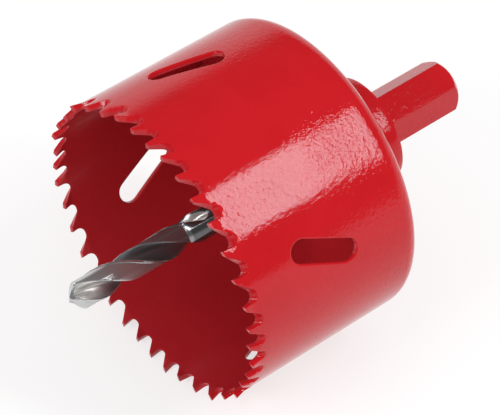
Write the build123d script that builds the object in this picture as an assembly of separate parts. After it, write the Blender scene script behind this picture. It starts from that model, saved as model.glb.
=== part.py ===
from build123d import *
import os
from math import asin, atan2, cos, degrees, pi, radians, sin, sqrt, tan

# A hole saw lying on its side: toothed wall ring, back plate, arbor with a hex shank,
# pilot drill and the grub screw that holds it. Sizes in millimetres, angles in degrees.
# "Along" counts along the axis (+X) from the tooth tips toward the shank, and angles
# about the axis turn from +Y toward +Z.

# Wall ring
BODY_DIAMETER = 67.0
WALL = 1.3
CUP_LENGTH = 44.3

# Teeth, cut into the open edge of the ring, every third one set out and every third in
TOOTH_PITCH = 5.54
FIRST_TOOTH_ANGLE = 232.5
PITCH_SWING = 2.0
PITCH_WAVES = 4
PITCH_PHASE = 8.5
GULLET_DEPTH = 2.58
GULLET_DEPTH_OUTSIDE = 3.6
GULLET_RADIUS = 1.2
TOOTH_LAND = 1.1
TOOTH_BACK = 2.6
RELIEF_ANGLE = 11.3
HOOK_ANGLE = 6.5
SET = 0.5
BEND_LINE = 2.2
EDGE_STOCK = 0.5

# Slanted slots for levering the plug out
SLOTS = 4
SLOT_LENGTH = 16.0
SLOT_WIDTH = 5.0
SLOT_SLANT = 27.0
SLOT_CENTRE = 20.7
FIRST_SLOT_ANGLE = 66.0

# Back plate, with a step that centres it inside the ring
PLATE_THICKNESS = 5.0
PLATE_EDGE_RADIUS = 4.0
PLATE_STEP = 1.8
PLATE_STEP_CHAMFER = 0.5

# Arbor: a spigot through the plate, a collar and a hex shank
SPIGOT_DIAMETER = 15.88
SPIGOT_STANDS_IN = 1.0
SPIGOT_CHAMFER = 0.6
COLLAR_DIAMETER = 24.5
COLLAR_LENGTH = 13.3
COLLAR_CHAMFER = 0.5
SHANK_FLATS = 11.0
SHANK_LENGTH = 21.6
SHANK_CORNER_DIAMETER = 12.55
SHANK_END_DIAMETER = 10.4
SHANK_END_CROWN = 0.05
SHANK_CORNER_ANGLE = 23.3

# Pilot drill
DRILL_DIAMETER = 6.35
DRILL_SHOULDER = -18.0
DRILL_IN_ARBOR = 21.6
POINT_ANGLE = 118.0
WEB = 1.1
LEAD = 33.2
LIP_CORNER_ANGLE = 147.5
FLUTE_WIDTH_ANGLE = 86.0
HEEL_LEAN = 24.0
MARGIN_WIDTH = 0.6
LAND_RELIEF = 0.13
LAND_RELIEF_END = 8.6
FLUTE_FULL_END = 9.6
WHEEL_RADIUS = 9.5
LIP_RELIEF_ANGLE = 17.7
GRIND_CONE_ANGLE = 90.0
GRIND_APEX_OFFSET = 5.0
DRILL_END_CHAMFER = 0.4

# Grub screw, square to the axis through the collar, bearing on a flat of the drill
SCREW_DIAMETER = 6.0
SCREW_LENGTH = 8.0
SCREW_ANGLE = 318.4
SCREW_FROM_PLATE = 6.7
SCREW_POINT_DIAMETER = 4.0
SCREW_TOP_CHAMFER = 0.5
SOCKET_FLATS = 3.0
SOCKET_DEPTH = 3.5
DRILL_FLAT_DEPTH = 0.28
DRILL_FLAT_LENGTH = 5.6

# Room left between pieces, on the radius
PLATE_GAP = 0.05
SPIGOT_GAP = 0.05
DRILL_GAP = 0.05
SCREW_GAP = 0.05
BORE_END_ROOM = 1.0
BORE_CHAMFER = 0.4

# How far a cutting shape reaches past the surface it leaves through
OVERRUN = 2.0
LAP = 0.3

# Places at which a flute's curves are drawn
RAKE_COUNT = 6
FLUTE_COUNT = 16
RUN_OUT_COUNT = 6

BODY_RADIUS = BODY_DIAMETER / 2
BODY_INNER_RADIUS = BODY_RADIUS - WALL
TEETH = round(pi * BODY_DIAMETER / TOOTH_PITCH)
WALL_END = CUP_LENGTH - PLATE_THICKNESS
COLLAR_END = CUP_LENGTH + COLLAR_LENGTH
SHANK_END = COLLAR_END + SHANK_LENGTH
SPIGOT_FRONT = WALL_END - PLATE_STEP - SPIGOT_STANDS_IN
SCREW_ALONG = CUP_LENGTH + SCREW_FROM_PLATE

DRILL_RADIUS = DRILL_DIAMETER / 2
DRILL_END = SPIGOT_FRONT + DRILL_IN_ARBOR
HALF_WEB = WEB / 2
TWIST = 360.0 / LEAD
POINT_SLOPE = 1 / tan(radians(POINT_ANGLE / 2))
LIP_REACH = sqrt(DRILL_RADIUS**2 - HALF_WEB**2)
DRILL_APEX = DRILL_SHOULDER - LIP_REACH * POINT_SLOPE
LIP_ANGLE = LIP_CORNER_ANGLE + degrees(asin(HALF_WEB / DRILL_RADIUS))


def turned(outline):
    """Solid turned about the saw's axis from a closed outline of (along, radius) points."""
    return revolve(make_face(Polyline(*outline, close=True)), Axis.X)


def rod(radius, start, end):
    """Round bar on the axis between two places along it."""
    bar = Cylinder(radius, end - start, align=(Align.CENTER, Align.CENTER, Align.MIN))
    return Plane.YZ.offset(start) * bar


def facing_out(angle, along, radius):
    """Plane square to the radius: its x runs round the axis and its y along the axis."""
    turn = radians(angle)
    outward = Vector(0, cos(turn), sin(turn))
    around = Vector(0, -sin(turn), cos(turn))
    return Plane(origin=outward * radius + Vector(along, 0, 0), x_dir=around, z_dir=outward)


def cross_section(angle, along):
    """Plane square to the axis, its x pointing out at the given angle."""
    turn = radians(angle)
    return Plane(origin=(along, 0, 0), x_dir=(0, cos(turn), sin(turn)), z_dir=(1, 0, 0))


def at_turn(x, y, turn):
    """Point (x, y) turned about the middle."""
    return (
        x * cos(turn) - y * sin(turn),
        x * sin(turn) + y * cos(turn),
    )


def tooth_angle(number):
    """Angle of a tooth tip. The pitch swells and shrinks in waves round the edge."""
    wave = radians(360.0 * PITCH_WAVES * number / TEETH + PITCH_PHASE)
    return FIRST_TOOTH_ANGLE + 360.0 * number / TEETH + PITCH_SWING * sin(wave)


def gullet_middle(number):
    """Angle halfway from a tooth tip to the next one."""
    return (tooth_angle(number) + tooth_angle(number + 1)) / 2


def gullet_half(number):
    """Half the straight distance from a tooth tip to the next one."""
    turn = radians(tooth_angle(number + 1) - tooth_angle(number))
    return BODY_RADIUS * sin(turn / 2)


def gullet_floor(number):
    """Angle of the deepest place between a tooth and the next, where their blanks meet."""
    stretch = 2 * gullet_half(number) / TOOTH_PITCH
    back = (TOOTH_LAND + TOOTH_BACK) * stretch
    undercut = GULLET_DEPTH * tan(radians(HOOK_ANGLE))
    return gullet_middle(number) + degrees(asin((back + undercut) / 2 / BODY_RADIUS))


def gullet_outline(number, depth):
    """Outline between a tooth tip and the next at some depth, stretched to their pitch."""
    half = gullet_half(number)
    stretch = 2 * half / TOOTH_PITCH
    relief = tan(radians(RELIEF_ANGLE))
    hook = tan(radians(HOOK_ANGLE))
    land = TOOTH_LAND * stretch
    outline = Polyline(
        (-half - LAP, -LAP * relief),
        (-half + land, land * relief),
        (-half + land + TOOTH_BACK * stretch, depth),
        (half + depth * hook, depth),
        (half - OVERRUN * hook, -OVERRUN),
        (-half - LAP, -OVERRUN),
        close=True,
    )
    face = make_face(outline)
    return fillet(face.vertices().group_by(Axis.Y)[-1], GULLET_RADIUS * stretch)


def gullet(number):
    """Cutting shape between a tooth tip and the next. It is deeper toward the outside, so
    the floor of the gullet slopes."""
    slope = (GULLET_DEPTH_OUTSIDE - GULLET_DEPTH) / WALL
    reach = SET + LAP
    sections = []
    for radius in (BODY_INNER_RADIUS - reach, BODY_RADIUS + reach):
        depth = GULLET_DEPTH + slope * (radius - BODY_INNER_RADIUS)
        place = facing_out(gullet_middle(number), 0, radius)
        sections.append(place * gullet_outline(number, depth))
    return loft(sections, ruled=True)


def tooth(number, gullets):
    """One tooth from the bend line to its tip, leaning out, upright or in by its turn."""
    lean = SET * (1, 0, -1)[number % 3] / BEND_LINE
    rise = lean * (BEND_LINE + EDGE_STOCK)
    strip = Polyline(
        (BEND_LINE, BODY_INNER_RADIUS),
        (BEND_LINE, BODY_RADIUS),
        (-EDGE_STOCK, BODY_RADIUS + rise),
        (-EDGE_STOCK, BODY_INNER_RADIUS + rise),
        close=True,
    )
    start = gullet_floor(number - 1)
    arc = gullet_floor(number) - start
    blank = Rot(X=start) * revolve(make_face(strip), Axis.X, arc)
    return blank - [gullets[number - 1], gullets[number]]


def slot(number):
    """Cutting shape of one slanted, round-ended slot in the wall."""
    angle = FIRST_SLOT_ANGLE + 360.0 * number / SLOTS
    outline = Rot(Z=90 - SLOT_SLANT) * SlotOverall(SLOT_LENGTH, SLOT_WIDTH)
    start = facing_out(angle, SLOT_CENTRE, BODY_INNER_RADIUS - OVERRUN)
    return extrude(start * outline, WALL + 2 * OVERRUN)


def make_toothed_shell():
    gullets = [gullet(number) for number in range(TEETH)]
    ring = rod(BODY_RADIUS, BEND_LINE, WALL_END) - rod(BODY_INNER_RADIUS, 0, CUP_LENGTH)
    ring = ring - gullets - [slot(number) for number in range(SLOTS)]
    return ring + [tooth(number, gullets) for number in range(TEETH)]


def make_back_plate():
    front = WALL_END - PLATE_STEP
    step_radius = BODY_INNER_RADIUS - PLATE_GAP
    outline = Polyline(
        (front, 0),
        (front, step_radius - PLATE_STEP_CHAMFER),
        (front + PLATE_STEP_CHAMFER, step_radius),
        (WALL_END, step_radius),
        (WALL_END, BODY_RADIUS),
        (CUP_LENGTH, BODY_RADIUS),
        (CUP_LENGTH, 0),
        close=True,
    )
    face = make_face(outline)
    edge = face.vertices().sort_by_distance((CUP_LENGTH, BODY_RADIUS, 0))[0]
    disc = revolve(fillet(edge, PLATE_EDGE_RADIUS), Axis.X)
    hole = rod(SPIGOT_DIAMETER / 2 + SPIGOT_GAP, front - OVERRUN, CUP_LENGTH + OVERRUN)
    return disc - hole


def hex_shank():
    """Hex bar with its corners turned to a diameter and its end broken at 45 degrees.
    The broken edge is very slightly crowned."""
    corner = SHANK_CORNER_DIAMETER / 2
    end = SHANK_END_DIAMETER / 2
    hexagon = RegularPolygon(SHANK_FLATS / 2, 6, major_radius=False)
    bar = extrude(cross_section(SHANK_CORNER_ANGLE, COLLAR_END) * hexagon, SHANK_LENGTH)
    edge_start = SHANK_END - (corner - end)
    crown = (
        (edge_start + SHANK_END) / 2 + SHANK_END_CROWN,
        (corner + end) / 2 + SHANK_END_CROWN,
    )
    outline = ThreePointArc((edge_start, corner), crown, (SHANK_END, end)) + Polyline(
        (SHANK_END, end),
        (SHANK_END, 0),
        (COLLAR_END, 0),
        (COLLAR_END, corner),
        (edge_start, corner),
    )
    return bar & revolve(make_face(outline), Axis.X)


def drill_bore():
    """Blind bore for the drill, with a drilled cone at its bottom."""
    radius = DRILL_RADIUS + DRILL_GAP
    bottom = DRILL_END + BORE_END_ROOM
    return turned([
        (SPIGOT_FRONT - OVERRUN, 0),
        (SPIGOT_FRONT - OVERRUN, radius + BORE_CHAMFER + OVERRUN),
        (SPIGOT_FRONT + BORE_CHAMFER, radius),
        (bottom, radius),
        (bottom + radius * POINT_SLOPE, 0),
    ])


def make_arbor():
    spigot = SPIGOT_DIAMETER / 2
    collar = COLLAR_DIAMETER / 2
    body = turned([
        (SPIGOT_FRONT, 0),
        (SPIGOT_FRONT, spigot - SPIGOT_CHAMFER),
        (SPIGOT_FRONT + SPIGOT_CHAMFER, spigot),
        (CUP_LENGTH, spigot),
        (CUP_LENGTH, collar),
        (COLLAR_END - COLLAR_CHAMFER, collar),
        (COLLAR_END, collar - COLLAR_CHAMFER),
        (COLLAR_END, 0),
    ])
    hole = extrude(
        facing_out(SCREW_ANGLE, SCREW_ALONG, 0) * Circle(SCREW_DIAMETER / 2 + SCREW_GAP),
        collar + OVERRUN,
    )
    return body + hex_shank() - drill_bore() - hole


def lip_trace(reach):
    """Where a point of the straight lip comes out in the section at the drill's shoulder,
    carried back along its own helix, so that the ground flute gives a straight lip."""
    back = (LIP_REACH - reach) * POINT_SLOPE
    return at_turn(reach, -HALF_WEB, radians(TWIST * back))


def flute_outline(rise):
    """Section of one flute, raised off the drill's middle by some way. It is drawn with
    x along the lip: the rake face, the web bottom and the back up to the heel."""
    relief = tan(radians(LIP_RELIEF_ANGLE))
    inner = HALF_WEB * relief / POINT_SLOPE
    outer = DRILL_RADIUS + LAP * 2
    stretch = (outer - inner) / RAKE_COUNT
    rake = [lip_trace(inner + stretch * i) for i in range(RAKE_COUNT + 1)]
    heel_angle = radians(LIP_CORNER_ANGLE - LIP_ANGLE - FLUTE_WIDTH_ANGLE)
    heel = (DRILL_RADIUS * cos(heel_angle), DRILL_RADIUS * sin(heel_angle))
    lean = heel_angle - radians(HEEL_LEAN)
    run = DRILL_RADIUS - HALF_WEB
    inward = atan2(rake[0][1] - rake[1][1], rake[0][0] - rake[1][0])
    back = Bezier(
        rake[0],
        (rake[0][0] + run / 2 * cos(inward), rake[0][1] + run / 2 * sin(inward)),
        (heel[0] - run / 2 * cos(lean), heel[1] - run / 2 * sin(lean)),
        heel,
    )
    past_heel = (heel[0] + LAP * 2 * cos(lean), heel[1] + LAP * 2 * sin(lean))
    middle = heel_angle + radians(FLUTE_WIDTH_ANGLE / 2)
    far = 2 * DRILL_RADIUS
    outline = Spline(*rake) + back + Polyline(
        heel,
        past_heel,
        (far * cos(middle), far * sin(middle)),
        rake[-1],
    )
    return Pos(rise * cos(middle), rise * sin(middle)) * make_face(outline)


def flute():
    """One flute: its section carried along the helix, then raised clear of the drill on
    the round path of a grinding wheel."""
    helix = atan2(pi * DRILL_DIAMETER, LEAD)
    lift = DRILL_RADIUS - HALF_WEB + LAP
    run_out = sqrt(WHEEL_RADIUS**2 - (WHEEL_RADIUS - lift) ** 2) * cos(helix)
    front = DRILL_APEX - OVERRUN
    full = (FLUTE_FULL_END - front) / FLUTE_COUNT
    places = [front + full * i for i in range(FLUTE_COUNT + 1)]
    places += [
        FLUTE_FULL_END + run_out * (i + 1) / RUN_OUT_COUNT for i in range(RUN_OUT_COUNT)
    ]
    sections = []
    for along in places:
        travel = max(0.0, along - FLUTE_FULL_END) / cos(helix)
        rise = WHEEL_RADIUS - sqrt(WHEEL_RADIUS**2 - travel**2)
        turn = LIP_ANGLE + TWIST * (along - DRILL_SHOULDER)
        sections.append(cross_section(turn, along) * flute_outline(rise))
    return loft(sections)


def land_relief():
    """The land behind the narrow margin, ground a little below the drill's diameter."""
    inner = DRILL_RADIUS - LAND_RELIEF
    outer = DRILL_RADIUS + LAP
    margin = radians(LIP_CORNER_ANGLE) + MARGIN_WIDTH / DRILL_RADIUS
    heel = radians(LIP_CORNER_ANGLE + 180 - FLUTE_WIDTH_ANGLE + degrees(LAP))
    middle = (margin + heel) / 2
    front = DRILL_APEX - OVERRUN
    turn = radians(TWIST * (front - DRILL_SHOULDER))

    def at(radius, angle):
        return (radius * cos(angle + turn), radius * sin(angle + turn))

    outline = (
        ThreePointArc(at(inner, margin), at(inner, middle), at(inner, heel))
        + Line(at(inner, heel), at(outer, heel))
        + ThreePointArc(at(outer, heel), at(outer, middle), at(outer, margin))
        + Line(at(outer, margin), at(inner, margin))
    )
    section = cross_section(0, front) * make_face(outline)
    length = LAND_RELIEF_END - front
    return Solid.extrude_linear_with_rotation(
        section.face(), (front, 0, 0), (length, 0, 0), TWIST * length
    )


def point_grind():
    """Stock taken off one flank of the point by a grinding cone that touches it along
    the whole lip and falls away behind it."""
    turn = radians(LIP_ANGLE)
    along_lip = Vector(0, cos(turn), sin(turn))
    behind_lip = Vector(0, -sin(turn), cos(turn))
    forward = Vector(-1, 0, 0)
    relief = tan(radians(LIP_RELIEF_ANGLE))
    half_cone = radians(GRIND_CONE_ANGLE / 2)
    lip = (along_lip - forward * POINT_SLOPE).normalized()
    normal = (along_lip * POINT_SLOPE + behind_lip * relief + forward).normalized()
    apex = (
        Vector(DRILL_APEX, 0, 0)
        - behind_lip * HALF_WEB
        - (along_lip - forward * POINT_SLOPE) * GRIND_APEX_OFFSET
    )
    height = 4 * DRILL_DIAMETER
    cone = Cone(
        0,
        height * tan(half_cone),
        height,
        align=(Align.CENTER, Align.CENTER, Align.MIN),
    )
    axis = lip * cos(half_cone) - normal * sin(half_cone)
    stock = rod(DRILL_DIAMETER, DRILL_APEX - OVERRUN, DRILL_APEX + DRILL_DIAMETER)
    return stock - Plane(origin=apex, z_dir=axis) * cone


def make_pilot_drill():
    bar = turned([
        (DRILL_APEX - LAP, 0),
        (DRILL_APEX - LAP, DRILL_RADIUS),
        (DRILL_END - DRILL_END_CHAMFER, DRILL_RADIUS),
        (DRILL_END, DRILL_RADIUS - DRILL_END_CHAMFER),
        (DRILL_END, 0),
    ])
    for cutter in (flute(), land_relief(), point_grind()):
        bar = bar - cutter - Rot(X=180) * cutter
    flat = Box(
        DRILL_DIAMETER,
        DRILL_FLAT_LENGTH,
        OVERRUN,
        align=(Align.CENTER, Align.CENTER, Align.MIN),
    )
    seat = facing_out(SCREW_ANGLE, SCREW_ALONG, DRILL_RADIUS - DRILL_FLAT_DEPTH)
    return bar - seat * flat


def make_set_screw():
    radius = SCREW_DIAMETER / 2
    point = SCREW_POINT_DIAMETER / 2
    outline = Polyline(
        (0, 0),
        (point, 0),
        (radius, radius - point),
        (radius, SCREW_LENGTH - SCREW_TOP_CHAMFER),
        (radius - SCREW_TOP_CHAMFER, SCREW_LENGTH),
        (0, SCREW_LENGTH),
        close=True,
    )
    body = revolve(make_face(Plane.XZ * outline), Axis.Z)
    hexagon = RegularPolygon(SOCKET_FLATS / 2, 6, major_radius=False)
    socket = extrude(Pos(Z=SCREW_LENGTH) * hexagon, -SOCKET_DEPTH)
    seat = facing_out(SCREW_ANGLE, SCREW_ALONG, DRILL_RADIUS - DRILL_FLAT_DEPTH)
    return seat * (body - socket)


def main():
    parts = {
        "toothed_shell": make_toothed_shell(),
        "back_plate": make_back_plate(),
        "arbor": make_arbor(),
        "pilot_drill": make_pilot_drill(),
        "set_screw": make_set_screw(),
    }
    # The whole saw lies on its lowest tooth, its length centred over the origin.
    boxes = [part.bounding_box() for part in parts.values()]
    middle = (min(box.min.X for box in boxes) + max(box.max.X for box in boxes)) / 2
    lowest = min(box.min.Z for box in boxes)
    os.makedirs("parts", exist_ok=True)
    for name, part in parts.items():
        export_step(Pos(-middle, 0, -lowest) * part, f"parts/{name}.step")


main()
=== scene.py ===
"""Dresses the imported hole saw: enamelled saw cup, arbor with a hex shank and bright pilot drill.

Places along the saw are in millimetres from the plane of the tooth tips toward the shank, and
angles are in degrees about the saw's axis, from +Y toward +Z, as they are in the solids.
"""

import logging
import math
from dataclasses import dataclass
from enum import Enum
from functools import partial
from typing import Callable, Iterable, Sequence

import bmesh
import bpy
import numpy as np
from mathutils import Matrix, Vector
from mathutils.geometry import delaunay_2d_cdt


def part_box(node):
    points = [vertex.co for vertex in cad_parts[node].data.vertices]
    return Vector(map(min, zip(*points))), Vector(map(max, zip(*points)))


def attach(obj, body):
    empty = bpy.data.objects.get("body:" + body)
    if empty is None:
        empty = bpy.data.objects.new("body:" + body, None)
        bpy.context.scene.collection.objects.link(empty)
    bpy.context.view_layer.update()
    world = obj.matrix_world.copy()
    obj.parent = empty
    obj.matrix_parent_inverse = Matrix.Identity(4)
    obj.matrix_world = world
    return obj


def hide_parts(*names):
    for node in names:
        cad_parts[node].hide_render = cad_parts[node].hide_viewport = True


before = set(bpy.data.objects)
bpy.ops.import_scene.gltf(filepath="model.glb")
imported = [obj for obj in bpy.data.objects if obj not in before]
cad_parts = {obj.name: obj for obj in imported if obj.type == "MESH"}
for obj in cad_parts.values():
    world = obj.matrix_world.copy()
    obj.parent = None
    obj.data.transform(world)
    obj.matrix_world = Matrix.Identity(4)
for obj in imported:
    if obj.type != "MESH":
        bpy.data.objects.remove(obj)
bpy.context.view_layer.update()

MM = 0.001
BODY = "root"
SHARPEST = 0.7
Point = tuple[float, float]
Colour = tuple[float, float, float]
Edge = Callable[[float, bool], list[Point]]
Socket = bpy.types.NodeSocket
Material = bpy.types.Material
Thing = bpy.types.Object
WHITE: Colour = (1.0, 1.0, 1.0)
log = logging.getLogger("hole_saw")


class Slot(Enum):
    """The record's material slots."""

    ENAMEL = "red_enamel"
    STEEL = "ground_steel"


class ToothSet(Enum):
    """Which way a tooth leans from the wall, as a share of the full set."""

    OUT = 1.0
    STRAIGHT = 0.0
    IN = -1.0


def operator(kind: str, swapped: bool = False) -> Callable[..., "Signal"]:
    """Makes a method of Signal that adds one Math node.

    Args:
        kind: the node's operation.
        swapped: puts the method's argument before the signal itself.

    Returns:
        The method, which gives the node's result.
    """

    def method(self: "Signal", *others: "Signal | float") -> "Signal":
        """Adds the node to the signal's own board."""
        values = (*others, self) if swapped else (self, *others)
        node = self.board.add("ShaderNodeMath", {"operation": kind}, dict(enumerate(values)))
        return Signal(self.board, node.outputs[0])

    return method


class Signal:
    """A shader output that takes part in Python sums, each of which adds its nodes."""

    def __init__(self, board: "NodeBoard", socket: Socket) -> None:
        """Keeps the board it lives on and the socket it stands for."""
        self.board = board
        self.socket = socket

    __add__ = __radd__ = operator("ADD")
    __sub__ = operator("SUBTRACT")
    __rsub__ = operator("SUBTRACT", swapped=True)
    __mul__ = __rmul__ = operator("MULTIPLY")
    __truediv__ = operator("DIVIDE")
    __pow__ = operator("POWER")
    least = operator("MINIMUM")
    most = operator("MAXIMUM")
    wave = operator("SINE")
    level_wave = operator("COSINE")
    around = operator("ARCTAN2", swapped=True)

    def between(self, low: float, high: float) -> "Signal":
        """Rises smoothly from 0 at low to 1 at high."""
        node = self.board.add(
            "ShaderNodeMapRange",
            {"interpolation_type": "SMOOTHSTEP"},
            {"Value": self, "From Min": low, "From Max": high},
        )
        return Signal(self.board, node.outputs[0])


class NodeBoard:
    """One node tree, with a single way of adding a node to it."""

    def __init__(self, tree: bpy.types.NodeTree) -> None:
        """Clears the tree and keeps it."""
        self.tree = tree
        tree.nodes.clear()

    def add(
        self,
        kind: str,
        settings: dict[str, object] | None = None,
        inputs: dict[str | int, object] | None = None,
    ) -> bpy.types.Node:
        """Adds a node.

        Args:
            kind: the node's type.
            settings: its properties, which are set first.
            inputs: a value, a Signal or a socket for each input, by name or number.

        Returns:
            The node.
        """
        node = self.tree.nodes.new(kind)
        for name, value in (settings or {}).items():
            setattr(node, name, value)
        for key, value in (inputs or {}).items():
            self.feed(node.inputs[key], value)
        return node

    def feed(self, socket: Socket, value: object) -> None:
        """Links a Signal or a socket to an input, or sets a plain value on it."""
        if isinstance(value, Signal):
            self.tree.links.new(value.socket, socket)
        elif isinstance(value, Socket):
            self.tree.links.new(value, socket)
        elif isinstance(value, tuple) and len(value) == 3 and socket.type == "RGBA":
            socket.default_value = (*value, 1.0)
        else:
            socket.default_value = value

    def blend(self, factor: Signal, first: object, second: object) -> Socket:
        """Mixes two colours.

        Args:
            factor: 0 for the first, 1 for the second.
            first: a colour or a colour socket.
            second: a colour or a colour socket.

        Returns:
            The mixed colour's socket.
        """
        node = self.add("ShaderNodeMix", {"data_type": "RGBA"})
        self.feed(node.inputs[0], factor)
        self.feed(node.inputs[6], first)
        self.feed(node.inputs[7], second)
        return node.outputs[2]


class Surface(NodeBoard):
    """A material under construction, with the patterns that the finishes share."""

    def __init__(self, name: str, axis: "SawAxis") -> None:
        """Starts an empty material.

        Args:
            name: the material's name.
            axis: the saw's axis, from which places on the object are counted.
        """
        self.material = bpy.data.materials.new(name)
        self.material.use_nodes = True
        super().__init__(self.material.node_tree)
        given = self.add("ShaderNodeTexCoord").outputs["Object"]
        tips = (-axis.tips_x, 0.0, -axis.height)
        mapping = self.add("ShaderNodeMapping", None, {"Vector": given, "Location": tips})
        self.place = mapping.outputs["Vector"]
        parts = self.add("ShaderNodeSeparateXYZ", None, {"Vector": self.place})
        self.along = Signal(self, parts.outputs["X"]) / MM
        self.level = Signal(self, parts.outputs["Y"]) / MM
        self.upward = Signal(self, parts.outputs["Z"]) / MM
        self.radius = (self.level * self.level + self.upward * self.upward) ** 0.5

    def around_axis(self, along: float, turn: float) -> Socket:
        """Coordinates wrapped about the saw's axis.

        Args:
            along: how much a millimetre along the axis counts.
            turn: how much a millimetre of radius and a radian of turn count.

        Returns:
            A vector socket for a texture.
        """
        angle = self.level.around(self.upward)
        node = self.add(
            "ShaderNodeCombineXYZ",
            None,
            {"X": self.along * along, "Y": angle * turn, "Z": self.radius * turn},
        )
        return node.outputs[0]

    def noise(
        self,
        scale: float,
        detail: float = 2.0,
        roughness: float = 0.5,
        vector: Socket | None = None,
    ) -> Signal:
        """Cloudy noise from 0 to 1.

        Args:
            scale: clouds per metre of the vector's length.
            detail: how many finer layers are added.
            roughness: how strong the finer layers are.
            vector: where it is read, the place on the object if left out.

        Returns:
            The noise.
        """
        node = self.add(
            "ShaderNodeTexNoise",
            None,
            {
                "Vector": vector or self.place,
                "Scale": scale,
                "Detail": detail,
                "Roughness": roughness,
            },
        )
        return Signal(self, node.outputs["Fac"])

    def bump(self, height: Signal, depth_mm: float) -> Socket:
        """Turns a height from 0 to 1 into a bump of that depth."""
        node = self.add(
            "ShaderNodeBump", None, {"Strength": 1.0, "Distance": depth_mm * MM, "Height": height}
        )
        return node.outputs["Normal"]

    def finish(self, **inputs: object) -> Material:
        """Ends the material in one Principled shader with these inputs."""
        named = {key.replace("_", " "): value for key, value in inputs.items()}
        shader = self.add("ShaderNodeBsdfPrincipled", None, named)
        output = self.add("ShaderNodeOutputMaterial", None, {"Surface": shader.outputs[0]})
        output.is_active_output = True
        return self.material


@dataclass(frozen=True)
class RedEnamel:
    """Glossy red enamel with an orange peel, rougher inside the cup, where a darker, greyer red is
    painted shade and painted sheen.

    A pair of millimetres says where, along the saw or out from its axis, a change begins and
    ends. Scales are in clouds per metre.
    """

    colour: Colour = (0.585, 0.011, 0.0165)
    deep: Colour = (0.55, 0.009, 0.0135)
    # Darker red inside the cup as painted shade, with extra green and blue as painted sheen.
    inside_shade_and_sheen: Colour = (0.50, 0.020, 0.027)
    # Bluish tint of the reflections: the lamps' colour painted into the paint's highlights.
    painted_highlight_tint: Colour = (0.74, 0.93, 1.0)
    roughness: float = 0.03
    haze_roughness: float = 0.02
    inside_roughness: float = 0.25
    turned_roughness: float = 0.06
    clearness: float = 1.36
    coat: float = 0.12
    coat_roughness: float = 0.06
    peel_mm: float = 0.10
    peel_least: float = 0.38
    mark_mm: float = 0.035
    cloud_scale: float = 90.0
    patch_scale: float = 60.0
    peel_scale: float = 1150.0
    haze_scale: float = 2400.0
    peel_rise: Point = (10.0, 36.0)
    inner_wall: Point = (32.45, 33.05)
    inner_end: Point = (37.0, 38.5)
    arbor_rim: Point = (12.6, 12.7)
    plate_rear: Point = (44.4, 44.5)

    def build(self, axis: "SawAxis") -> Material:
        """Makes the material."""
        s = Surface("red_enamel", axis)
        within = 1.0 - s.radius.between(*self.inner_wall)
        within = within * (1.0 - s.along.between(*self.inner_end))
        cloud = s.noise(self.cloud_scale, 3.0)
        colour = s.blend(cloud.between(0.35, 0.75), self.colour, self.deep)
        # Inside the cup the red turns darker and greyer: painted shade and painted sheen.
        colour = s.blend(within, colour, self.inside_shade_and_sheen)
        patch = s.noise(self.patch_scale, 1.0).between(0.25, 0.6)
        patch = s.along.between(*self.peel_rise) * patch
        peel = patch * (1.0 - self.peel_least) + self.peel_least
        peel = s.noise(self.peel_scale, 2.0, 0.6) * peel
        turned = 1.0 - s.radius.between(*self.arbor_rim)
        turned = turned * s.along.between(*self.plate_rear)
        marks = s.noise(1.0, 2.0, 0.7, s.around_axis(2.2, 0.5)) * turned
        relief = peel * self.peel_mm + marks * self.mark_mm
        haze = s.noise(self.haze_scale, 2.0) * self.haze_roughness
        dull = within * (self.inside_roughness - self.roughness)
        coat = s.noise(self.haze_scale, 1.0).between(0.35, 0.65)
        return s.finish(
            Base_Color=colour,
            Roughness=self.roughness + haze + dull + turned * self.turned_roughness,
            IOR=self.clearness,
            # The specular tint paints the lamps' bluish colour into the highlights.
            Specular_Tint=self.painted_highlight_tint,
            Coat_Weight=coat * self.coat,
            Coat_Roughness=self.coat_roughness,
            Normal=s.bump(relief, 1.0),
        )


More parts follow.
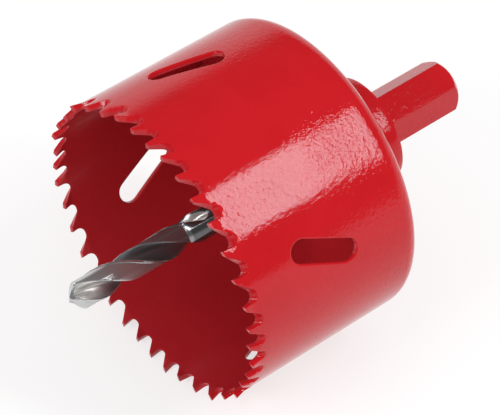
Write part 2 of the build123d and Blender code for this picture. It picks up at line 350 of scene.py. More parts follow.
@dataclass(frozen=True)
class GroundSteel:
    """High-speed steel: ground lands and point, dark flutes and shank, with painted light along
    the drill: a painted reflection brightens the flutes near the point, and painted shade darkens
    the lands, the flutes and the shank further back.
    """

    ground: Colour = (0.56, 0.565, 0.57)
    flute: Colour = (0.20, 0.20, 0.21)
    # Darker land colour further back along the drill: painted shade.
    ground_shaded: Colour = (0.30, 0.30, 0.31)
    # Bright flute colour near the point: a painted reflection.
    near_point_reflection: Colour = (0.72, 0.71, 0.69)
    # Dark shank inside the cup: painted shade.
    shank: Colour = (0.13, 0.13, 0.135)
    metal: float = 0.78
    ground_roughness: float = 0.20
    flute_roughness: float = 0.44
    line_roughness: float = 0.05
    point_share: float = 0.4
    stain: float = 0.25
    stain_scale: float = 420.0
    mark_mm: float = 0.002
    point_slope: float = 0.6009
    point_end: Point = (-18.9, -18.6)
    flute_rim: Point = (2.75, 2.95)
    # Where the flutes turn from the painted reflection to the dark flute colour, as painted shade,
    # and grow rougher.
    flute_shade_and_rough: Point = (-14.5, -9.0)
    # Where the lands darken as painted shade.
    land_shade: Point = (-7.0, 4.0)
    # Where the drill turns to the dark shank colour, painted shade.
    shank_shade_front: Point = (9.3, 9.6)

    def build(self, axis: "SawAxis") -> Material:
        """Makes the material."""
        s = Surface("ground_steel", axis)
        lines = s.noise(1.0, 2.0, 0.6, s.around_axis(6.0, 0.8))
        blotch = s.noise(self.stain_scale, 3.0)
        behind_point = s.along - s.radius * self.point_slope
        flute = 1.0 - s.radius.between(*self.flute_rim)
        flute = flute * behind_point.between(*self.point_end)
        dark = (flute + (blotch - 0.5) * self.stain).most(0.0).least(1.0)
        # Behind the flutes, inside the cup, the drill takes the dark shank colour as painted
        # shade.
        shank = s.along.between(*self.shank_shade_front)
        # Flutes are bright near the point, a painted reflection, and darken further back as
        # painted shade; the same share makes them rougher.
        dull = s.along.between(*self.flute_shade_and_rough) * (1.0 - shank)
        trough = s.blend(dull, self.near_point_reflection, self.flute)
        # Lands darken further back along the drill: painted shade.
        land = s.blend(s.along.between(*self.land_shade), self.ground, self.ground_shaded)
        land = s.blend(shank, land, self.shank)
        share = dull * (1.0 - self.point_share) + self.point_share
        rise = share * (self.flute_roughness - self.ground_roughness)
        return s.finish(
            Base_Color=s.blend(dark, land, trough),
            Metallic=self.metal,
            Roughness=self.ground_roughness + flute * rise + lines * self.line_roughness,
            Normal=s.bump(lines, self.mark_mm),
        )


@dataclass(frozen=True)
class BlackOxide:
    """Dark oiled finish of a hardened grub screw."""

    colour: Colour = (0.045, 0.045, 0.05)
    worn: Colour = (0.16, 0.16, 0.17)
    metal: float = 0.9
    roughness: float = 0.38
    worn_roughness: float = 0.15
    wear_scale: float = 1800.0
    mark_mm: float = 0.01

    def build(self, axis: "SawAxis") -> Material:
        """Makes the material."""
        s = Surface("black_oxide", axis)
        wear = s.noise(self.wear_scale, 3.0, 0.65)
        return s.finish(
            Base_Color=s.blend(wear.between(0.5, 0.8), self.colour, self.worn),
            Metallic=self.metal,
            Roughness=self.roughness + wear * self.worn_roughness,
            Normal=s.bump(wear, self.mark_mm),
        )


@dataclass(frozen=True)
class WhiteFloor:
    """Pale studio floor. Camera and mirror rays see it near white, with a soft shadow."""

    colour: Colour = (0.8, 0.8, 0.8)
    glow: float = 0.66
    kept: float = 0.38

    def build(self) -> Material:
        """Makes the material."""
        material = bpy.data.materials.new("white_floor")
        material.use_nodes = True
        board = NodeBoard(material.node_tree)
        plain = board.add("ShaderNodeBsdfDiffuse", None, {"Color": self.colour})
        soft = board.add("ShaderNodeBsdfDiffuse", None, {"Color": (self.kept,) * 3})
        glow = board.add("ShaderNodeEmission", None, {"Color": WHITE, "Strength": self.glow})
        both = board.add("ShaderNodeAddShader", None, {0: soft.outputs[0], 1: glow.outputs[0]})
        seen = seen_rays(board)
        mix = board.add(
            "ShaderNodeMixShader", None, {"Fac": seen, 1: plain.outputs[0], 2: both.outputs[0]}
        )
        board.add("ShaderNodeOutputMaterial", None, {"Surface": mix.outputs[0]})
        return material


def seen_rays(board: NodeBoard) -> Signal:
    """1 for rays that show the background: from the camera, or by a mirror or glass."""
    path = board.add("ShaderNodeLightPath")
    total = Signal(board, path.outputs["Is Camera Ray"])
    total = total.most(Signal(board, path.outputs["Is Glossy Ray"]))
    return total.most(Signal(board, path.outputs["Is Transmission Ray"]))


@dataclass(frozen=True)
class SawAxis:
    """Where the saw's axis lies in the frame, in metres."""

    tips_x: float
    height: float

    def spot(self, along: float, radius: float, angle: float) -> Vector:
        """Point at a place along the axis, a radius (mm) and an angle (degrees)."""
        turn = math.radians(angle)
        return Vector((
            self.tips_x + along * MM,
            radius * MM * math.cos(turn),
            self.height + radius * MM * math.sin(turn),
        ))

    def outward(self, angle: float) -> Vector:
        """Unit vector away from the axis at an angle in degrees."""
        turn = math.radians(angle)
        return Vector((0.0, math.cos(turn), math.sin(turn)))


def bend(
    before: Point, here: Point, after: Point, radius: float
) -> tuple[Vector, Vector, float]:
    """Works out the arc that rounds a corner.

    Args:
        before: the corner before it.
        here: the corner.
        after: the corner after it.
        radius: the arc's radius.

    Returns:
        The arc's middle, the arm from there to its first point, and its signed turn.
    """
    corner = Vector(here)
    back = (Vector(before) - corner).normalized()
    ahead = (Vector(after) - corner).normalized()
    half = back.angle(ahead) / 2
    middle = corner + (back + ahead).normalized() * radius / math.sin(half)
    arm = corner + back * (radius / math.tan(half)) - middle
    return middle, arm, math.copysign(math.pi - 2 * half, ahead.cross(back))


def rounded(corners: Sequence[Point], radii: Sequence[float], step: float) -> list[Point]:
    """Rounds the inner corners of an open outline and fills its runs with points.

    Args:
        corners: the outline's corners in order.
        radii: a radius for each corner; the first and the last are ignored.
        step: the longest distance between neighbouring points.

    Returns:
        Points from the first corner up to and including the last.
    """
    path: list[Vector] = [Vector(corners[0])]
    for before, here, after, radius in zip(corners, corners[1:], corners[2:], radii[1:-1]):
        middle, arm, turn = bend(before, here, after, radius)
        if radius <= 0:
            path.append(Vector(here))
            continue
        count = max(2, math.ceil(abs(turn) * radius / step))
        path += [middle + Matrix.Rotation(turn * i / count, 2) @ arm for i in range(count + 1)]
    path.append(Vector(corners[-1]))
    points: list[Point] = [tuple(path[0])]
    for first, second in zip(path, path[1:]):
        count = max(1, math.ceil((second - first).length / step))
        points += [tuple(first.lerp(second, i / count)) for i in range(1, count + 1)]
    return points


def counted(
    corners: Sequence[Point], radii: Sequence[float], runs: Sequence[int], arcs: Sequence[int]
) -> list[Point]:
    """Rounds the inner corners of an open outline with a fixed count of points.

    Args:
        corners: the outline's corners in order.
        radii: a radius for each inner corner.
        runs: how many steps each straight run is cut into.
        arcs: how many steps each rounding is cut into.

    Returns:
        Points from the first corner up to and including the last.
    """
    points: list[Vector] = [Vector(corners[0])]

    def run_to(target: Vector, count: int) -> None:
        """Adds evenly spaced points on the way to a target."""
        start = points[-1]
        points.extend(start.lerp(target, i / count) for i in range(1, count + 1))

    for number, (radius, run, arc) in enumerate(zip(radii, runs, arcs)):
        middle, arm, turn = bend(*corners[number : number + 3], radius)
        run_to(middle + arm, run)
        points += [middle + Matrix.Rotation(turn * i / arc, 2) @ arm for i in range(1, arc + 1)]
    run_to(Vector(corners[-1]), runs[-1])
    return [tuple(p) for p in points]


def inset(path: Sequence[Point], distance: float) -> list[Point]:
    """Moves an open edge into the metal, which lies on its left.

    Args:
        path: the edge, from left to right with the metal above it.
        distance: how far it moves.

    Returns:
        The moved edge, with the same count of points.
    """
    line = np.array(path)
    steps = np.diff(line, axis=0)
    steps /= np.hypot(*steps.T)[:, None]
    normals = np.stack([-steps[:, 1], steps[:, 0]], 1)
    before = np.vstack([[0.0, 1.0], normals])
    after = np.vstack([normals, [0.0, 1.0]])
    both = before + after
    share = np.maximum((both * both).sum(1), SHARPEST)
    moved = line + both * (2 * distance / share)[:, None]
    return [tuple(p) for p in moved]


def name_inputs(tree: bpy.types.NodeTree, sizes: dict[str, float]) -> None:
    """Gives a geometry tree its geometry sockets and a named input for each size."""
    tree.interface.new_socket("Geometry", in_out="INPUT", socket_type="NodeSocketGeometry")
    for name, value in sizes.items():
        socket = tree.interface.new_socket(name, in_out="INPUT", socket_type="NodeSocketFloat")
        socket.default_value = value
    tree.interface.new_socket("Geometry", in_out="OUTPUT", socket_type="NodeSocketGeometry")


def end_tree(board: NodeBoard, geometry: Socket, material: Material) -> None:
    """Ends a geometry tree in plain, dressed mesh."""
    real = board.add("GeometryNodeRealizeInstances", None, {"Geometry": geometry})
    dress = board.add(
        "GeometryNodeSetMaterial", None, {"Geometry": real.outputs[0], "Material": material}
    )
    board.add("NodeGroupOutput", None, {0: dress.outputs[0]})


def inside(points: np.ndarray, outline: np.ndarray) -> np.ndarray:
    """Tells which flat points lie within a closed outline."""
    hit = np.zeros(len(points), bool)
    x, y = points[:, 0], points[:, 1]
    for (ax, ay), (bx, by) in zip(outline, np.roll(outline, -1, 0)):
        if ay != by:
            crosses = (ay > y) != (by > y)
            hit ^= crosses & (x < (bx - ax) * (y - ay) / (by - ay) + ax)
    return hit


def linked(name: str, data: bpy.types.ID) -> Thing:
    """Makes an object of a mesh, a lamp or a camera and puts it in the scene."""
    thing = bpy.data.objects.new(name, data)
    bpy.context.scene.collection.objects.link(thing)
    return thing


def mesh_object(name: str, vertices: Iterable, faces: Iterable) -> Thing:
    """Makes a linked mesh object from vertices in metres and faces."""
    mesh = bpy.data.meshes.new(name)
    mesh.from_pydata([tuple(v) for v in vertices], [], [tuple(f) for f in faces])
    mesh.validate()
    return linked(name, mesh)


def settle_mesh(thing: Thing, sharp_deg: float | None = None) -> None:
    """Turns what the modifiers give into the object's own mesh.

    Args:
        thing: the object, whose modifiers are removed.
        sharp_deg: smooths all but the edges that turn by more than this, where given.
    """
    bpy.context.view_layer.update()
    graph = bpy.context.evaluated_depsgraph_get()
    mesh = bpy.data.meshes.new_from_object(thing.evaluated_get(graph), depsgraph=graph)
    mesh.name = thing.name
    thing.modifiers.clear()
    thing.data = mesh
    if sharp_deg is not None:
        mesh.shade_smooth()
        mesh.set_sharp_from_angle(angle=math.radians(sharp_deg))


def soften(thing: Thing, width_mm: float) -> None:
    """Adds a small rounding along the edges that turn by more than 40 degrees."""
    bevel = thing.modifiers.new("edge", "BEVEL")
    bevel.width = width_mm * MM
    bevel.segments = 2
    bevel.limit_method = "ANGLE"
    bevel.angle_limit = math.radians(40.0)


def even_normals(thing: Thing) -> None:
    """Weights the shading by face area, so that flats stay flat beside their edges."""
    weigh = thing.modifiers.new("normals", "WEIGHTED_NORMAL")
    weigh.keep_sharp = True


def lathe(name: str, axis: SawAxis, outline: Sequence[Point], turns: int = 288) -> Thing:
    """Turns an outline about the saw's axis.

    Args:
        name: the object's name.
        axis: the saw's axis.
        outline: (along, radius) points. It is closed, or starts and ends on the axis.
        turns: how many steps go round.

    Returns:
        The turned object.
    """
    solid = outline[0][1] == 0 and outline[-1][1] == 0
    rim = outline[1:-1] if solid else outline
    vertices = [axis.spot(s, r, 360.0 * i / turns) for i in range(turns) for s, r in rim]
    count = len(rim)
    faces: list[tuple[int, ...]] = []
    for i in range(turns):
        here, after = i * count, (i + 1) % turns * count
        for j in range(count - 1 if solid else count):
            k = (j + 1) % count
            faces.append((here + j, after + j, after + k, here + k))
    if solid:
        first, last = len(vertices), len(vertices) + 1
        vertices += [axis.spot(*outline[0], 0.0), axis.spot(*outline[-1], 0.0)]
        for i in range(turns):
            here, after = i * count, (i + 1) % turns * count
            faces.append((first, after, here))
            faces.append((last, here + count - 1, after + count - 1))
    thing = mesh_object(name, vertices, faces)
    outward(thing)
    return thing


def outward(thing: Thing, reach: float = 0.0) -> None:
    """Welds the points of a closed mesh that lie within a reach and turns its faces out."""
    work = bmesh.new()
    work.from_mesh(thing.data)
    if reach > 0:
        bmesh.ops.remove_doubles(work, verts=work.verts, dist=reach)
    bmesh.ops.recalc_face_normals(work, faces=work.faces)
    work.to_mesh(thing.data)
    work.free()


def stacked(name: str, rings: Sequence[Sequence[Vector]]) -> Thing:
    """Joins rings of equally many points into a solid with two flat ends."""
    count = len(rings[0])
    vertices = [v for ring in rings for v in ring]
    faces = [
        (i + j, i + (j + 1) % count, i + count + (j + 1) % count, i + count + j)
        for i in range(0, len(vertices) - count, count)
        for j in range(count)
    ]
    last = len(vertices) - 1
    faces += [tuple(range(count)), tuple(range(last, last - count, -1))]
    thing = mesh_object(name, vertices, faces)
    outward(thing, 1e-6)
    return thing


def carve(thing: Thing, other: Thing, operation: str) -> None:
    """Joins another solid to this one, or cuts it out, and removes the other.

    Args:
        thing: the solid that is kept.
        other: the solid that is used up.
        operation: UNION or DIFFERENCE.
    """
    cut = thing.modifiers.new("cut", "BOOLEAN")
    cut.operation = operation
    cut.solver = "EXACT"
    cut.object = other
    settle_mesh(thing, 35.0)
    bpy.data.objects.remove(other)


def place_piece(piece: Thing, material: Material, slot: Slot, *nodes: str) -> None:
    """Dresses a finished piece, hands it to the frame and reports it.

    Args:
        piece: the finished piece.
        material: its finish.
        slot: the record's slot that it takes its finish from; not used.
        nodes: the CAD nodes that it stands for.
    """
    piece.data.materials.clear()
    piece.data.materials.append(material)
    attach(piece, BODY)
    if nodes:
        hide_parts(*nodes)
    log.info("%s: %d faces", piece.name, len(piece.data.polygons))


@dataclass(frozen=True)
class Sheet:
    """One face of the flat strip: its net, and where its edges lie in it."""

    place: np.ndarray
    cells: list[tuple[int, ...]]
    teeth: list[int]
    rear: list[int]
    slots: list[list[int]]


@dataclass
class ToothedShell:
    """Wall ring with set teeth and slanted slots, cut flat from a strip and rolled up."""

    radius: float = 33.5
    wall: float = 1.3
    length: float = 39.3
    teeth: int = 38
    tooth_pitch: float = 5.54
    first_tooth: float = 232.5
    pitch_swing: float = 2.0
    pitch_waves: int = 4
    pitch_phase: float = 8.5
    depth_inside: float = 2.58
    depth_outside: float = 3.6
    gullet_radius: float = 1.2
    land: float = 1.1
    land_round: float = 0.25
    back: float = 2.6
    relief: float = 11.3
    hook: float = 6.5
    set_width: float = 0.5
    bend_line: float = 2.2
    tooth_round: float = 0.07
    slot_round: float = 0.34
    slot_angles: tuple[float, ...] = (246.0, 336.0, 426.0, 516.0)
    slot_length: float = 16.0
    slot_width: float = 5.0
    slot_slant: float = 27.0
    slot_centre: float = 20.7
    cycle: tuple[ToothSet, ...] = (ToothSet.OUT, ToothSet.STRAIGHT, ToothSet.IN)
    run_steps: tuple[int, ...] = (3, 6, 2, 7)
    arc_steps: tuple[int, ...] = (2, 5, 8)
    slot_steps: int = 16
    tooth_columns: int = 8
    tooth_rows: tuple[float, ...] = (0.35, 0.8, 1.25, 1.7, 2.2, 2.7, 3.2, 3.8)
    row_steps: Point = (0.6, 1.7)
    row_growth: float = 0.12
    rear_gap: float = 1.9
    edge_gap: float = 0.24
    seam_reach: float = 0.01

    def tooth_angle(self, number: int) -> float:
        """Angle of a tooth's tip."""
        wave = math.radians(360.0 * self.pitch_waves * number / self.teeth + self.pitch_phase)
        return self.first_tooth + 360.0 * number / self.teeth + self.pitch_swing * math.sin(wave)

    def unrolled(self, angle: float, offset: float, inner: bool) -> float:
        """Place on the strip of a point cut straight in beside the tangent at an angle."""
        reach = self.radius - self.wall if inner else self.radius
        return self.radius * (math.radians(angle) + math.asin(offset / reach))

    def gullet(self, number: int) -> tuple[float, float, float]:
        """Middle angle, half width and stretch of the gullet after a tooth."""
        start, end = self.tooth_angle(number), self.tooth_angle(number + 1)
        half = self.radius * math.sin(math.radians(end - start) / 2)
        return (start + end) / 2, half, 2 * half / self.tooth_pitch

    def gullet_edge(self, number: int, inner: bool) -> list[Point]:
        """Edge of one face from a tooth's tip to the next, with a fixed count of points."""
        middle, half, stretch = self.gullet(number)
        depth = self.depth_inside if inner else self.depth_outside
        land = self.land * stretch
        corners = [
            (-half, 0.0),
            (-half + land, land * math.tan(math.radians(self.relief))),
            (-half + land + self.back * stretch, depth),
            (half + depth * math.tan(math.radians(self.hook)), depth),
            (half, 0.0),
        ]
        sweep = self.gullet_radius * stretch
        rounds = (self.land_round, sweep, sweep)
        path = counted(corners, rounds, self.run_steps, self.arc_steps)
        return [(self.unrolled(middle, u, inner), v) for u, v in path]

    def tooth_edge(self, inner: bool) -> list[Point]:
        """Toothed edge of one face, from the floor of one gullet round to the same floor."""
        seam = sum(self.run_steps[:2]) + sum(self.arc_steps[:2]) + 1
        path = self.gullet_edge(-1, inner)[seam:]
        for number in range(self.teeth - 1):
            path += self.gullet_edge(number, inner)[1:]
        return path + self.gullet_edge(self.teeth - 1, inner)[1 : seam + 1]

    def floor(self, number: int) -> float:
        """Place on the strip of the lowest point between a tooth and the next."""
        middle, _, stretch = self.gullet(number)
        undercut = self.depth_inside * math.tan(math.radians(self.hook))
        offset = ((self.land + self.back) * stretch + undercut) / 2
        return self.unrolled(middle, offset, False)

    def slot_edge(self, angle: float, grown: float, inner: bool) -> list[Point]:
        """Edge of one slanted slot on one face, grown outward by a rounding."""
        arm = (self.slot_length - self.slot_width) / 2
        half = self.slot_width / 2 + grown
        slant = math.radians(90 - self.slot_slant)
        steps = self.slot_steps
        flat: list[Point] = []
        for end in (1, -1):
            for i in range(steps + 1):
                turn = math.pi * (i / steps - 0.5)
                flat.append((end * (arm + half * math.cos(turn)), end * half * math.sin(turn)))
            flat += [(end * arm * (1 - 2 * i / steps), end * half) for i in range(1, steps)]
        placed = []
        for x, y in flat:
            across = x * math.cos(slant) - y * math.sin(slant)
            down = x * math.sin(slant) + y * math.cos(slant)
            placed.append((self.unrolled(angle, across, inner), self.slot_centre + down))
        return placed

    def inset_teeth(self, back: float, inner: bool) -> list[Point]:
        """Toothed edge of one face, moved back into the metal."""
        return inset(self.tooth_edge(inner), back)

    def sheet(self, inner: bool) -> Sheet:
        """Lays out one face of the strip inside its rounded edges."""
        teeth = self.inset_teeth(self.tooth_round, inner)
        slots = [self.slot_edge(angle, self.slot_round, inner) for angle in self.slot_angles]
        begin, finish = teeth[0][0], teeth[-1][0]
        rows = [teeth[0][1]]
        shortest, longest = self.row_steps
        while rows[-1] < self.length - self.rear_gap:
            grown = shortest + self.row_growth * (rows[-1] - self.depth_inside)
            rows.append(rows[-1] + min(longest, grown))
        rows.append(self.length)
        columns = np.linspace(begin, finish, self.tooth_columns * self.teeth + 1)
        side = [(finish, v) for v in rows[1:-1]]
        rear = [(u, self.length) for u in columns[::-1]]
        near = [(begin, v) for v in rows[-2:0:-1]]
        outline = teeth + side + rear + near
        grid_rows = [*self.tooth_rows, *rows[1:-1]]
        grid = np.array([(u, v) for v in grid_rows for u in columns[1:-1]])
        keep = inside(grid, np.array(outline))
        for slot in slots:
            keep &= ~inside(grid, np.array(slot))
        grid = grid[keep]
        drawn = np.array([p for path in [outline, *slots] for p in path])
        gap = np.array([np.min(np.hypot(*(drawn - p).T)) for p in grid])
        net = grid[gap > self.edge_gap]
        points: list[Vector] = []
        edges: list[tuple[int, int]] = []
        for path in (outline, *slots):
            first = len(points)
            points += [Vector(p) for p in path]
            edges += [(first + i, first + (i + 1) % len(path)) for i in range(len(path))]
        points += [Vector(p) for p in net]
        flat, _, cells, origins, *_ = delaunay_2d_cdt(points, edges, [], 0, 1e-7)
        index = {source: i for i, sources in enumerate(origins) for source in sources}
        place = np.array([tuple(p) for p in flat])
        centres = np.array([place[list(cell)].mean(0) for cell in cells])
        wanted = inside(centres, np.array(outline))
        for slot in slots:
            wanted &= ~inside(centres, np.array(slot))
        first = len(teeth) + len(side)
        starts = np.cumsum([len(outline)] + [len(slot) for slot in slots])
        return Sheet(
            place=place,
            cells=[tuple(cell) for cell, kept in zip(cells, wanted) if kept],
            teeth=[index[i] for i in range(len(teeth))],
            rear=[index[first + i] for i in range(len(rear))],
            slots=[[index[s + i] for i in range(len(p))] for s, p in zip(starts, slots)],
        )

    def leans(self, place: np.ndarray) -> np.ndarray:
        """How far each flat point is bent out of the strip by its tooth's set."""
        floors = [self.floor(number) for number in range(-1, self.teeth)]
        tooth = np.clip(np.searchsorted(floors, place[:, 0]) - 1, -1, self.teeth - 1)
        share = np.array([self.cycle[t % self.teeth % len(self.cycle)].value for t in tooth])
        bend = np.clip((self.bend_line - place[:, 1]) / self.bend_line, 0.0, None)
        return self.set_width * share * bend

    def flat_strip(self) -> Thing:
        """Cuts the flat strip: two faces joined by sides with rounded edges."""
        outer, inner = self.sheet(False), self.sheet(True)
        vertices = [(u, v, z) for (u, v), z in zip(outer.place, self.leans(outer.place))]
        faces = list(outer.cells)
        base = len(vertices)
        vertices += [
            (u, v, z - self.wall) for (u, v), z in zip(inner.place, self.leans(inner.place))
        ]
        faces += [tuple(base + i for i in reversed(cell)) for cell in inner.cells]

        def ring(path: Sequence[Point], level: float) -> list[int]:
            """Adds the points of one edge at a level below the outer face."""
            first = len(vertices)
            flat = np.array(path)
            vertices.extend((u, v, z - level) for (u, v), z in zip(flat, self.leans(flat)))
            return list(range(first, len(vertices)))

        def skirt(rings: Sequence[Sequence[int]], closed: bool) -> None:
            """Joins neighbouring rings with faces."""
            for upper, lower in zip(rings, rings[1:]):
                for i in range(len(upper) if closed else len(upper) - 1):
                    k = (i + 1) % len(upper)
                    faces.append((upper[k], upper[i], lower[i], lower[k]))

        def side(first: list[int], last: list[int], edge: Edge, size: float, steps: int) -> None:
            """Joins an edge of the outer face to that of the inner one by a rounded side."""
            turns = [math.pi / 2 * i / steps for i in range(1, steps + 1)]
            arc = [(size * (1 - math.sin(t)), size * (1 - math.cos(t))) for t in turns]
            rings = [first, *(ring(edge(back, False), level) for back, level in arc)]
            for back, level in reversed(arc):
                rings.append(ring(edge(back, True), self.wall - level))
            skirt([*rings, [base + i for i in last]], first is not outer.teeth)

        side(outer.teeth, inner.teeth, self.inset_teeth, self.tooth_round, 2)
        for angle, first, last in zip(self.slot_angles, outer.slots, inner.slots):
            side(first, last, partial(self.slot_edge, angle), self.slot_round, 4)
        skirt([outer.rear, [base + i for i in inner.rear]], False)
        return mesh_object("saw_cup_wall", np.array(vertices) * MM, faces)

    def rolling_tree(self, axis: SawAxis, enamel: Material) -> bpy.types.NodeTree:
        """Geometry nodes that roll a flat strip about the saw's axis.

        Args:
            axis: the saw's axis.
            enamel: the paint that the rolled strip gets.

        Returns:
            The tree, whose sizes are named inputs.
        """
        tree = bpy.data.node_groups.new("roll_strip", "GeometryNodeTree")
        sizes = {
            "Radius": self.radius * MM,
            "Axis Height": axis.height,
            "Tooth Plane": axis.tips_x,
            "Seam Reach": self.seam_reach * MM,
        }
        name_inputs(tree, sizes)
        board = NodeBoard(tree)
        given = board.add("NodeGroupInput")
        position = board.add("GeometryNodeInputPosition")
        spot = board.add("ShaderNodeSeparateXYZ", None, {0: position.outputs[0]})
        radius = Signal(board, given.outputs["Radius"])
        turn = Signal(board, spot.outputs["X"]) / radius
        reach = radius + Signal(board, spot.outputs["Z"])
        across = reach * turn.level_wave()
        up = reach * turn.wave() + Signal(board, given.outputs["Axis Height"])
        along = Signal(board, spot.outputs["Y"]) + Signal(board, given.outputs["Tooth Plane"])
        target = board.add("ShaderNodeCombineXYZ", None, {"X": along, "Y": across, "Z": up})
        move = board.add(
            "GeometryNodeSetPosition",
            None,
            {"Geometry": given.outputs["Geometry"], "Position": target.outputs[0]},
        )
        weld = board.add(
            "GeometryNodeMergeByDistance",
            None,
            {"Geometry": move.outputs[0], "Distance": given.outputs["Seam Reach"]},
        )
        end_tree(board, weld.outputs[0], enamel)
        return tree

    def build(self, axis: SawAxis, enamel: Material) -> Thing:
        """Makes the wall and stands it for its solid.

        Args:
            axis: the saw's axis.
            enamel: the paint.

        Returns:
            The finished wall.
        """
        wall = self.flat_strip()
        wall.data.shade_smooth()
        wall.data.set_sharp_from_angle(angle=math.radians(50.0))
        roll = wall.modifiers.new("roll", "NODES")
        roll.node_group = self.rolling_tree(axis, enamel)
        even_normals(wall)
        settle_mesh(wall)
        outward(wall)
        place_piece(wall, enamel, Slot.ENAMEL, "toothed_shell")
        return wall


@dataclass
class BackPlate:
    """Thick pressed disc that closes the cup, rounded at its rear edge."""

    front: float = 37.5
    shoulder: float = 39.3
    rear: float = 44.3
    step_radius: float = 32.15
    radius: float = 33.5
    edge_radius: float = 4.0
    hole_radius: float = 7.99
    step_round: float = 0.5
    hole_round: float = 0.1

    def build(self, axis: SawAxis, enamel: Material) -> Thing:
        """Makes the plate and stands it for its solid."""
        seam = (self.front, self.hole_radius + 4.0)
        corners = [
            seam,
            (self.front, self.step_radius),
            (self.shoulder, self.step_radius),
            (self.shoulder, self.radius),
            (self.rear, self.radius),
            (self.rear, self.hole_radius),
            (self.front, self.hole_radius),
            seam,
        ]
        hole = (self.hole_round, self.hole_round)
        radii = (0.0, self.step_round, 0.0, 0.0, self.edge_radius, *hole, 0.0)
        outline = rounded(corners, radii, 0.55)
        plate = lathe("saw_back_plate", axis, outline[:-1])
        settle_mesh(plate, 35.0)
        place_piece(plate, enamel, Slot.ENAMEL, "back_plate")
        return plate


@dataclass
class Arbor:
    """Turned spigot and collar, with a hex shank, a drill bore and a tapped cross hole."""

    spigot_front: float = 36.5
    spigot_radius: float = 7.94
    collar_front: float = 44.3
    collar_end: float = 57.6
    collar_radius: float = 12.25
    shank_end: float = 79.2
    flats: float = 11.0
    corner_radius: float = 6.275
    end_radius: float = 5.2
    corner_angle: float = 23.3
    bore_radius: float = 3.225
    bore_end: float = 59.1
    screw_angle: float = 318.4
    screw_along: float = 51.0
    screw_radius: float = 3.05
    spigot_edge: float = 0.6
    fine_round: float = 0.1
    collar_round: float = 0.5
    bore_mouth: float = 2.4
    bore_cone: float = 1.9
    edge_mm: float = 0.08
    hole_steps: int = 48

    def hex_section(self, rim: float) -> list[Point]:
        """Outline of the hexagon turned down to a rim radius, as (radius, angle) points."""
        flat = self.flats / 2
        part = math.degrees(math.acos(min(1.0, flat / rim)))
        corner = 30.0 - part
        points: list[Point] = []
        for k in range(6):
            middle = self.corner_angle + 60.0 * k
            for i in range(5):
                points.append((rim, middle + corner * (i / 2 - 1)))
            for i in range(1, 8):
                swing = part * (i / 4 - 1)
                radius = min(rim, flat / math.cos(math.radians(swing)))
                points.append((radius, middle + 30.0 + swing))
        return points

    def shank(self, axis: SawAxis) -> Thing:
        """Hex bar from inside the collar to its broken end."""
        edge = self.corner_radius - self.end_radius
        places = [(self.collar_end - 2.0, self.corner_radius)]
        places += [(self.collar_end + 0.6 + 3.3 * i, self.corner_radius) for i in range(7)]
        places += [
            (self.shank_end - edge * (1 - i / 8), self.corner_radius - edge * i / 8)
            for i in range(9)
        ]
        rings = [[axis.spot(s, r, a) for r, a in self.hex_section(rim)] for s, rim in places]
        return stacked("shank", rings)

    def cross_hole(self, axis: SawAxis) -> Thing:
        """Cutter for the tapped hole through one side of the collar."""
        out = axis.outward(self.screw_angle)
        side = Vector((1.0, 0.0, 0.0))
        across = out.cross(side)
        start = axis.spot(self.screw_along, 0.0, 0.0)
        end = start + out * (self.collar_radius + 2.0) * MM
        turns = [2 * math.pi * i / self.hole_steps for i in range(self.hole_steps)]
        rim = [side * math.cos(t) + across * math.sin(t) for t in turns]
        rim = [arm * self.screw_radius * MM for arm in rim]
        return stacked("cross_hole", [[place + arm for arm in rim] for place in (start, end)])

    def build(self, axis: SawAxis, enamel: Material) -> Thing:
        """Makes the arbor and stands it for its solid."""
        corners = [
            (self.spigot_front, 0.0),
            (self.spigot_front, self.spigot_radius - self.spigot_edge),
            (self.spigot_front + self.spigot_edge, self.spigot_radius),
            (self.collar_front, self.spigot_radius),
            (self.collar_front, self.collar_radius),
            (self.collar_end, self.collar_radius),
            (self.collar_end, 0.0),
        ]
        fine = self.fine_round
        radii = (0.0, fine, fine, 0.0, fine, self.collar_round, 0.0)
        outline = rounded(corners, radii, 0.9)
        arbor = lathe("saw_arbor", axis, outline, 192)
        carve(arbor, self.shank(axis), "UNION")
        bore = [
            (self.spigot_front - 2.0, 0.0),
            (self.spigot_front - 2.0, self.bore_radius + self.bore_mouth),
            (self.spigot_front + 0.4, self.bore_radius),
            (self.bore_end, self.bore_radius),
            (self.bore_end + self.bore_cone, 0.0),
        ]
        carve(arbor, lathe("bore", axis, bore, 96), "DIFFERENCE")
        carve(arbor, self.cross_hole(axis), "DIFFERENCE")
        soften(arbor, self.edge_mm)
        even_normals(arbor)
        settle_mesh(arbor)
        place_piece(arbor, enamel, Slot.ENAMEL, "arbor")
        return arbor


@dataclass
class PilotDrill:
    """Twist drill, taken from its solid and given smooth flutes with crisp edges."""

    node: str = "pilot_drill"
    merge_mm: float = 0.0005

    def build(self, steel: Material) -> Thing:
        """Makes the drill and stands it for its solid."""
        work = bmesh.new()
        work.from_mesh(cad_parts[self.node].data)
        bmesh.ops.remove_doubles(work, verts=work.verts, dist=self.merge_mm * MM)
        mesh = bpy.data.meshes.new("saw_pilot_drill")
        work.to_mesh(mesh)
        work.free()
        drill = linked("saw_pilot_drill", mesh)
        mesh.shade_smooth()
        mesh.set_sharp_from_angle(angle=math.radians(28.0))
        place_piece(drill, steel, Slot.STEEL, self.node)
        return drill


def stand(name: str, data: bpy.types.ID, axes: Sequence[Vector], spot: Vector) -> Thing:
    """Puts a camera or a lamp at a spot, with its right, up and back directions."""
    place = Matrix(axes).transposed().to_4x4()
    place.translation = spot
    thing = linked(name, data)
    thing.matrix_world = place
    return thing


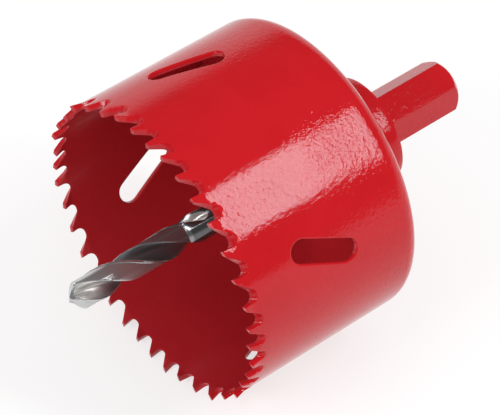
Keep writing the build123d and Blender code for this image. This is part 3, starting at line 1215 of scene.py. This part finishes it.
@dataclass
class Studio:
    """Camera, lamps, floor and surroundings."""

    azimuth: float = -38.467
    elevation: float = 47.33
    camera_from_tips: tuple[float, float, float] = (-196.34, -280.17, 384.68)
    lens: float = 183.09
    softbox_sizes: Point = (0.16, 0.55)
    softbox_light: float = 11.2
    softbox_distance: float = 0.9
    softbox_tilt: float = 26.0
    softbox_turn: float = 128.6
    front_way: tuple[float, float, float] = (-0.76, 0.0, 0.65)
    front_sizes: Point = (0.16, 0.42)
    fill: float = 0.60
    horizon_lean: float = 0.25
    horizon_front: float = -0.15
    horizon_rise: Point = (-0.09, 0.23)
    ceiling: float = 0.12
    floor_reach: float = 6.0
    floor_sides: int = 64

    def camera(self, axis: SawAxis) -> Thing:
        """Places the camera where the photograph was taken from."""
        turn, lift = math.radians(self.azimuth), math.radians(self.elevation)
        back = Vector((
            math.sin(turn) * math.cos(lift),
            -math.cos(turn) * math.cos(lift),
            math.sin(lift),
        ))
        right = Vector((math.cos(turn), math.sin(turn), 0.0))
        up = back.cross(right)
        x, y, z = (value * MM for value in self.camera_from_tips)
        spot = Vector((axis.tips_x + x, y, axis.height + z))
        data = bpy.data.cameras.new("camera")
        data.lens = self.lens
        data.sensor_width = 36.0
        data.sensor_fit = "HORIZONTAL"
        data.clip_start = 0.01
        camera = stand("camera", data, (right, up, back), spot)
        bpy.context.scene.camera = camera
        return camera

    def lamp(self, name: str, target: Vector, away: Vector, sizes: Point, light: float) -> Thing:
        """Hangs a rectangular lamp that faces a target.

        Args:
            name: the lamp's name.
            target: the point that it faces.
            away: from the target to the lamp, in metres.
            sizes: its size along the saw and across it, in metres.
            light: how bright its face is, where 1 shows as white.

        Returns:
            The lamp.
        """
        data = bpy.data.lights.new(name, "AREA")
        data.shape = "RECTANGLE"
        data.size, data.size_y = sizes
        data.energy = light * math.pi * data.size * data.size_y
        back = away.normalized()
        side = (Vector((1.0, 0.0, 0.0)) - back * back.x).normalized()
        return stand(name, data, (side, back.cross(side), back), target + away)

    def floor(self) -> Thing:
        """Lays a wide pale floor under the saw."""
        reach, count = self.floor_reach, self.floor_sides
        turns = [2 * math.pi * i / count for i in range(count)]
        vertices = [(reach * math.cos(t), reach * math.sin(t), 0.0) for t in turns]
        floor = mesh_object("floor", vertices, [tuple(range(count))])
        floor.data.materials.append(WhiteFloor().build())
        return floor

    def surroundings(self) -> None:
        """Sets an even fill, and a white horizon under a dim ceiling where it is seen."""
        world = bpy.data.worlds.new("studio")
        world.use_nodes = True
        bpy.context.scene.world = world
        board = NodeBoard(world.node_tree)
        way = board.add("ShaderNodeTexCoord")
        parts = board.add("ShaderNodeSeparateXYZ", None, {0: way.outputs["Generated"]})
        sideways = Signal(board, parts.outputs["Y"]) * self.horizon_lean
        ahead = Signal(board, parts.outputs["X"]) * self.horizon_front
        height = Signal(board, parts.outputs["Z"]) - sideways + ahead
        seen = board.blend(height.between(*self.horizon_rise), WHITE, (self.ceiling,) * 3)
        shade = board.blend(seen_rays(board), (self.fill,) * 3, seen)
        background = board.add("ShaderNodeBackground", None, {"Color": shade, "Strength": 1.0})
        board.add("ShaderNodeOutputWorld", None, {"Surface": background.outputs[0]})

    def build(self, axis: SawAxis) -> None:
        """Sets up the whole studio around the saw."""
        self.camera(axis)
        self.floor()
        self.surroundings()
        target = axis.spot(20.0, 0.0, 0.0)
        tilt, turn = math.radians(self.softbox_tilt), math.radians(self.softbox_turn)
        away = Vector((
            math.sin(tilt),
            math.cos(tilt) * math.cos(turn),
            math.cos(tilt) * math.sin(turn),
        ))
        reach, light = self.softbox_distance, self.softbox_light
        self.lamp("softbox", target, away * reach, self.softbox_sizes, light)
        mouth = axis.spot(0.0, 0.0, 0.0)
        self.lamp("front_softbox", mouth, Vector(self.front_way) * reach, self.front_sizes, light)
        bpy.context.scene.view_settings.view_transform = "Standard"


def main() -> None:
    """Builds the saw and its studio, piece by piece."""
    logging.basicConfig(level=logging.INFO, format="%(name)s: %(message)s")
    low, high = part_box("arbor")
    axis = SawAxis(tips_x=high.x - Arbor.shank_end * MM, height=(low.z + high.z) / 2)
    enamel = RedEnamel().build(axis)
    steel = GroundSteel().build(axis)
    ToothedShell().build(axis, enamel)
    BackPlate().build(axis, enamel)
    Arbor().build(axis, enamel)
    PilotDrill().build(steel)
    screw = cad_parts["set_screw"]
    screw.data.materials.clear()
    screw.data.materials.append(BlackOxide().build(axis))
    Studio().build(axis)


if __name__ == "__main__":
    main()
